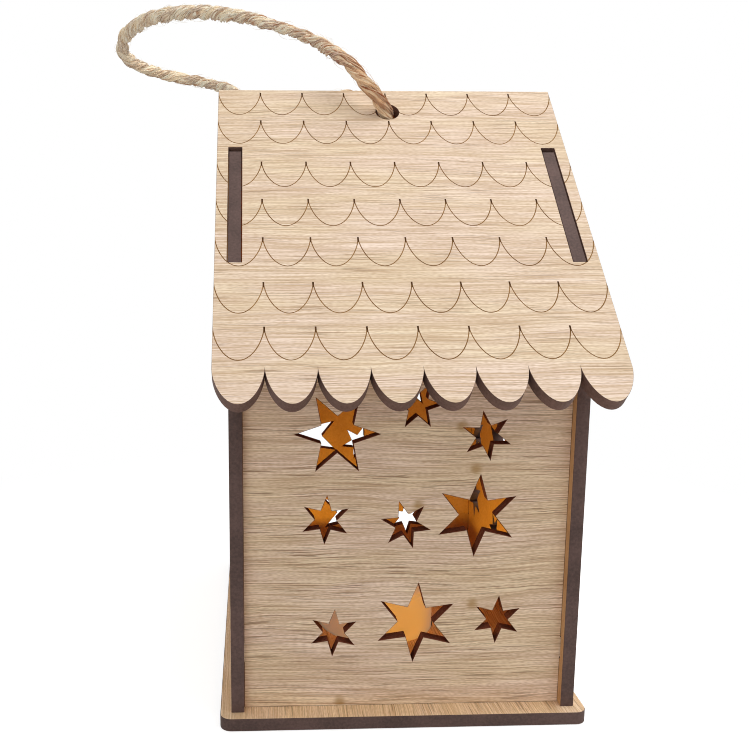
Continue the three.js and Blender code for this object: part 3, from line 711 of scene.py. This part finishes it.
def rolled_metal(name, colour, rough):
    """Bright rolled strip: fine lines from the rollers, a tenth of a millimetre apart."""
    material, tree = new_material(name)
    place = add_node(tree, "ShaderNodeTexCoord").outputs["Object"]
    drawn = add_node(tree, "ShaderNodeMapping", {
        "Vector": place, "Scale": (1, ROLL_LINES_IN_LENGTH, 1)}).outputs[0]
    lines = add_node(tree, "ShaderNodeTexNoise", {
        "Vector": drawn, "Scale": 1 / (ROLL_LINE_LENGTH * MM), "Detail": 3.0}).outputs["Fac"]
    shade = add_node(tree, "ShaderNodeMapRange", {
        "Value": lines, "To Min": rough - 0.1, "To Max": rough + 0.1}).outputs[0]
    shader = add_node(tree, "ShaderNodeBsdfPrincipled", {
        "Base Color": linear(colour), "Metallic": 1.0, "Roughness": shade})
    add_node(tree, "ShaderNodeOutputMaterial", {"Surface": shader.outputs[0]})
    return material


def dress(node, body, material, rounding, angle):
    """A CAD node of the tea light with its moulded edges rounded off and a finish of its own."""
    piece = merged_copy(node, node + "_moulded")
    soften(piece, rounding * MM, segments=2, angle=angle)
    piece.data.materials.append(material)
    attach(piece, body)
    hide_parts(node)
    return piece


AMBER = "#FF9A2E"
# Painted glow: the cup's emission, brightest on its front flank, stands in for the LED's light through the
# plastic, and its faint tan is painted light for studio light falling on the flank through the stars.
shell = dress("light_shell", "tea_light", glowing_plastic(
    "lit_ivory_polypropylene", body="#E3D2BC", glow="#F0AC4D", faint="#BCA88C",
    centre=(5, -18, 10), reach=23, bright=0.56, dim=0.3, rough=0.5), rounding=0.3, angle=50)
flame = dress("flame_tip", "tea_light", glowing_plastic(
    "lit_flame_polypropylene", body="#8F5E2C", glow=AMBER, faint=AMBER,
    centre=(0, 0, 22), reach=16, bright=0.6, dim=0.5, rough=0.35), rounding=0.2, angle=60)
lamp = dress("led_lamp", "tea_light", glowing_plastic(
    "lit_epoxy_lens", body="#FFE2B0", glow=AMBER, faint=AMBER,
    centre=(0, 0, 20), reach=10, bright=3.0, dim=0.3, rough=0.15), rounding=0.1, angle=60)
dress("light_floor", "tea_light",
      moulded_plastic("ivory_polypropylene", "#EFE2CB", rough=0.5), rounding=0.15, angle=60)
dress("battery_door", "door",
      moulded_plastic("ivory_polypropylene_door", "#F1E5CF", rough=0.5), rounding=0.2, angle=60)
black = moulded_plastic("black_nylon", "#24211F", rough=0.5)
dress("switch_body", "tea_light", black, rounding=0.15, angle=60)
dress("switch_slider", "switch", black, rounding=0.2, angle=60)
dress("coin_cell", "tea_light",
      rolled_metal("coin_cell_steel", "#C6C7C8", rough=0.28), rounding=0.15, angle=40)
nickel = rolled_metal("nickelled_strip", "#CFCBC2", rough=0.3)
for strip in ("positive_contact", "negative_contact", "switch_lead"):
    dress(strip, "tea_light", nickel, rounding=0.05, angle=60)

LED_PLACE = (-3, 0, 17.5)
glow = bpy.data.lights.new("led_glow", "SPOT")
glow.energy = 0.08
glow.color = (1.0, 0.61, 0.065)
glow.shadow_soft_size = 1 * MM
glow.spot_size = math.pi
glow.spot_blend = 0.1
glow_lamp = bpy.data.objects.new("led_glow", glow)
glow_lamp.location = Vector(LED_PLACE) * MM
glow_lamp.rotation_euler = (math.pi, 0, 0)
bpy.context.scene.collection.objects.link(glow_lamp)
glow_lamp.parent = frame["bodies"]["tea_light"]
for clear_piece in (shell, flame, lamp):
    clear_piece.visible_shadow = False


# Studio: a white sweep under the lantern, lit softly from above on the right and from the front left, and the
# camera where the photographer held it, a little left of the house and looking slightly down. The sweep is
# clear from below, and lets light through under the base, so that the underside can be looked at.

SWEEP_SIZE = 6
SWEEP_DROP = 0.2
SWEEP_GREY = 0.6
SWEEP_LIFT = 0.72
# The object's shadow shows up to the first distance from the middle and has faded at the second, in metres.
SHADOW_FADE = (0.1, 0.25)
BASE_MARGIN = 1
WORLD_LIGHT = 0.5
WHITE = (1, 1, 1, 1)


def background_rays(tree):
    """1 for rays that show the background: from the camera, off metal and through glass."""
    rays = add_node(tree, "ShaderNodeLightPath").outputs
    seen = rays["Is Camera Ray"]
    for kind in ("Is Glossy Ray", "Is Transmission Ray"):
        seen = add_node(tree, "ShaderNodeMath", {0: seen, 1: rays[kind]}, operation="MAXIMUM").outputs[0]
    return seen


bpy.ops.object.select_all(action="DESELECT")
bpy.ops.mesh.primitive_plane_add(size=SWEEP_SIZE, location=(0, 0, -SWEEP_DROP * MM))
floor = bpy.context.object
floor.name = "studio_floor"
paper, tree = new_material("white_sweep")
place = add_node(tree, "ShaderNodeTexCoord").outputs["Object"]
seen = background_rays(tree)
lift = add_node(tree, "ShaderNodeMath", {0: seen, 1: SWEEP_LIFT}, operation="MULTIPLY").outputs[0]
matt = add_node(tree, "ShaderNodeBsdfPrincipled", {
    "Base Color": (SWEEP_GREY, SWEEP_GREY, SWEEP_GREY, 1), "Roughness": 1.0, "Specular IOR Level": 0.0,
    "Emission Color": WHITE, "Emission Strength": lift}).outputs[0]
spread = add_node(tree, "ShaderNodeVectorMath", {0: place}, operation="LENGTH").outputs["Value"]
away = add_node(tree, "ShaderNodeMapRange", {
    "Value": spread, "From Min": SHADOW_FADE[0], "From Max": SHADOW_FADE[1], "To Max": seen},
    interpolation_type="SMOOTHSTEP").outputs[0]
bright = add_node(tree, "ShaderNodeEmission", {"Color": WHITE, "Strength": 1.0}).outputs[0]
matt = add_node(tree, "ShaderNodeMixShader", {0: away, 1: matt, 2: bright}).outputs[0]
beside = add_node(tree, "ShaderNodeVectorMath", {0: place}, operation="ABSOLUTE").outputs[0]
beside = add_node(tree, "ShaderNodeSeparateXYZ", {0: beside}).outputs
half_base = [size / 2 - BASE_MARGIN * MM for size in cad_nodes["base_plate"].dimensions]
within = [add_node(tree, "ShaderNodeMath", {0: beside[way], 1: half_base[way]},
                   operation="LESS_THAN").outputs[0] for way in (0, 1)]
covered = add_node(tree, "ShaderNodeMath", {0: within[0], 1: within[1]}, operation="MULTIPLY").outputs[0]
below = add_node(tree, "ShaderNodeNewGeometry").outputs["Backfacing"]
below = add_node(tree, "ShaderNodeMath", {0: below, 1: covered}, operation="MAXIMUM").outputs[0]
clear = add_node(tree, "ShaderNodeBsdfTransparent").outputs[0]
one_sided = add_node(tree, "ShaderNodeMixShader", {0: below, 1: matt, 2: clear}).outputs[0]
add_node(tree, "ShaderNodeOutputMaterial", {"Surface": one_sided})
floor.data.materials.append(paper)

world = bpy.data.worlds.new("studio")
bpy.context.scene.world = world
world.use_nodes = True
tree = world.node_tree
tree.nodes.clear()
strength = add_node(tree, "ShaderNodeMapRange", {
    "Value": background_rays(tree), "To Min": WORLD_LIGHT, "To Max": 1.0}).outputs[0]
sky = add_node(tree, "ShaderNodeBackground", {"Color": WHITE, "Strength": strength}).outputs[0]
add_node(tree, "ShaderNodeOutputWorld", {"Surface": sky})


def soft_box(name, place, target, size, power):
    """A square soft lamp, in metres and watts, turned to face its target."""
    lamp = bpy.data.lights.new(name, "AREA")
    lamp.shape = "SQUARE"
    lamp.size = size
    lamp.energy = power
    box = bpy.data.objects.new(name, lamp)
    box.location = place
    box.rotation_euler = (Vector(target) - Vector(place)).to_track_quat("-Z", "Y").to_euler()
    bpy.context.scene.collection.objects.link(box)


soft_box("top_soft_box", place=(0.3, -0.1, 0.7), target=(0, 0, 0.1), size=0.6, power=3.4)
soft_box("front_fill", place=(-0.5, -0.9, 0.45), target=(0, 0, 0.08), size=0.7, power=2.25)

CAMERA_PLACE = (-0.0403, -0.2799, 0.1331)
CAMERA_AHEAD = (0.036466, 0.985122, -0.167944)
FOCAL_PX = 896.56
AXIS_PX = (285.17, 376.77)
FRAME_PX = (749, 750)
SENSOR = 36.0
camera_data = bpy.data.cameras.new("photo_camera")
camera_data.sensor_width = SENSOR
camera_data.lens = FOCAL_PX / max(FRAME_PX) * SENSOR
camera_data.shift_x = (FRAME_PX[0] / 2 - AXIS_PX[0]) / max(FRAME_PX)
camera_data.shift_y = (AXIS_PX[1] - FRAME_PX[1] / 2) / max(FRAME_PX)
camera_data.clip_start = 0.01
camera = bpy.data.objects.new("photo_camera", camera_data)
camera.location = CAMERA_PLACE
camera.rotation_euler = Vector(CAMERA_AHEAD).to_track_quat("-Z", "Y").to_euler()
bpy.context.scene.collection.objects.link(camera)
bpy.context.scene.camera = camera
bpy.context.scene.view_settings.view_transform = "Standard"
bpy.context.scene.cycles.filter_width = 1.0
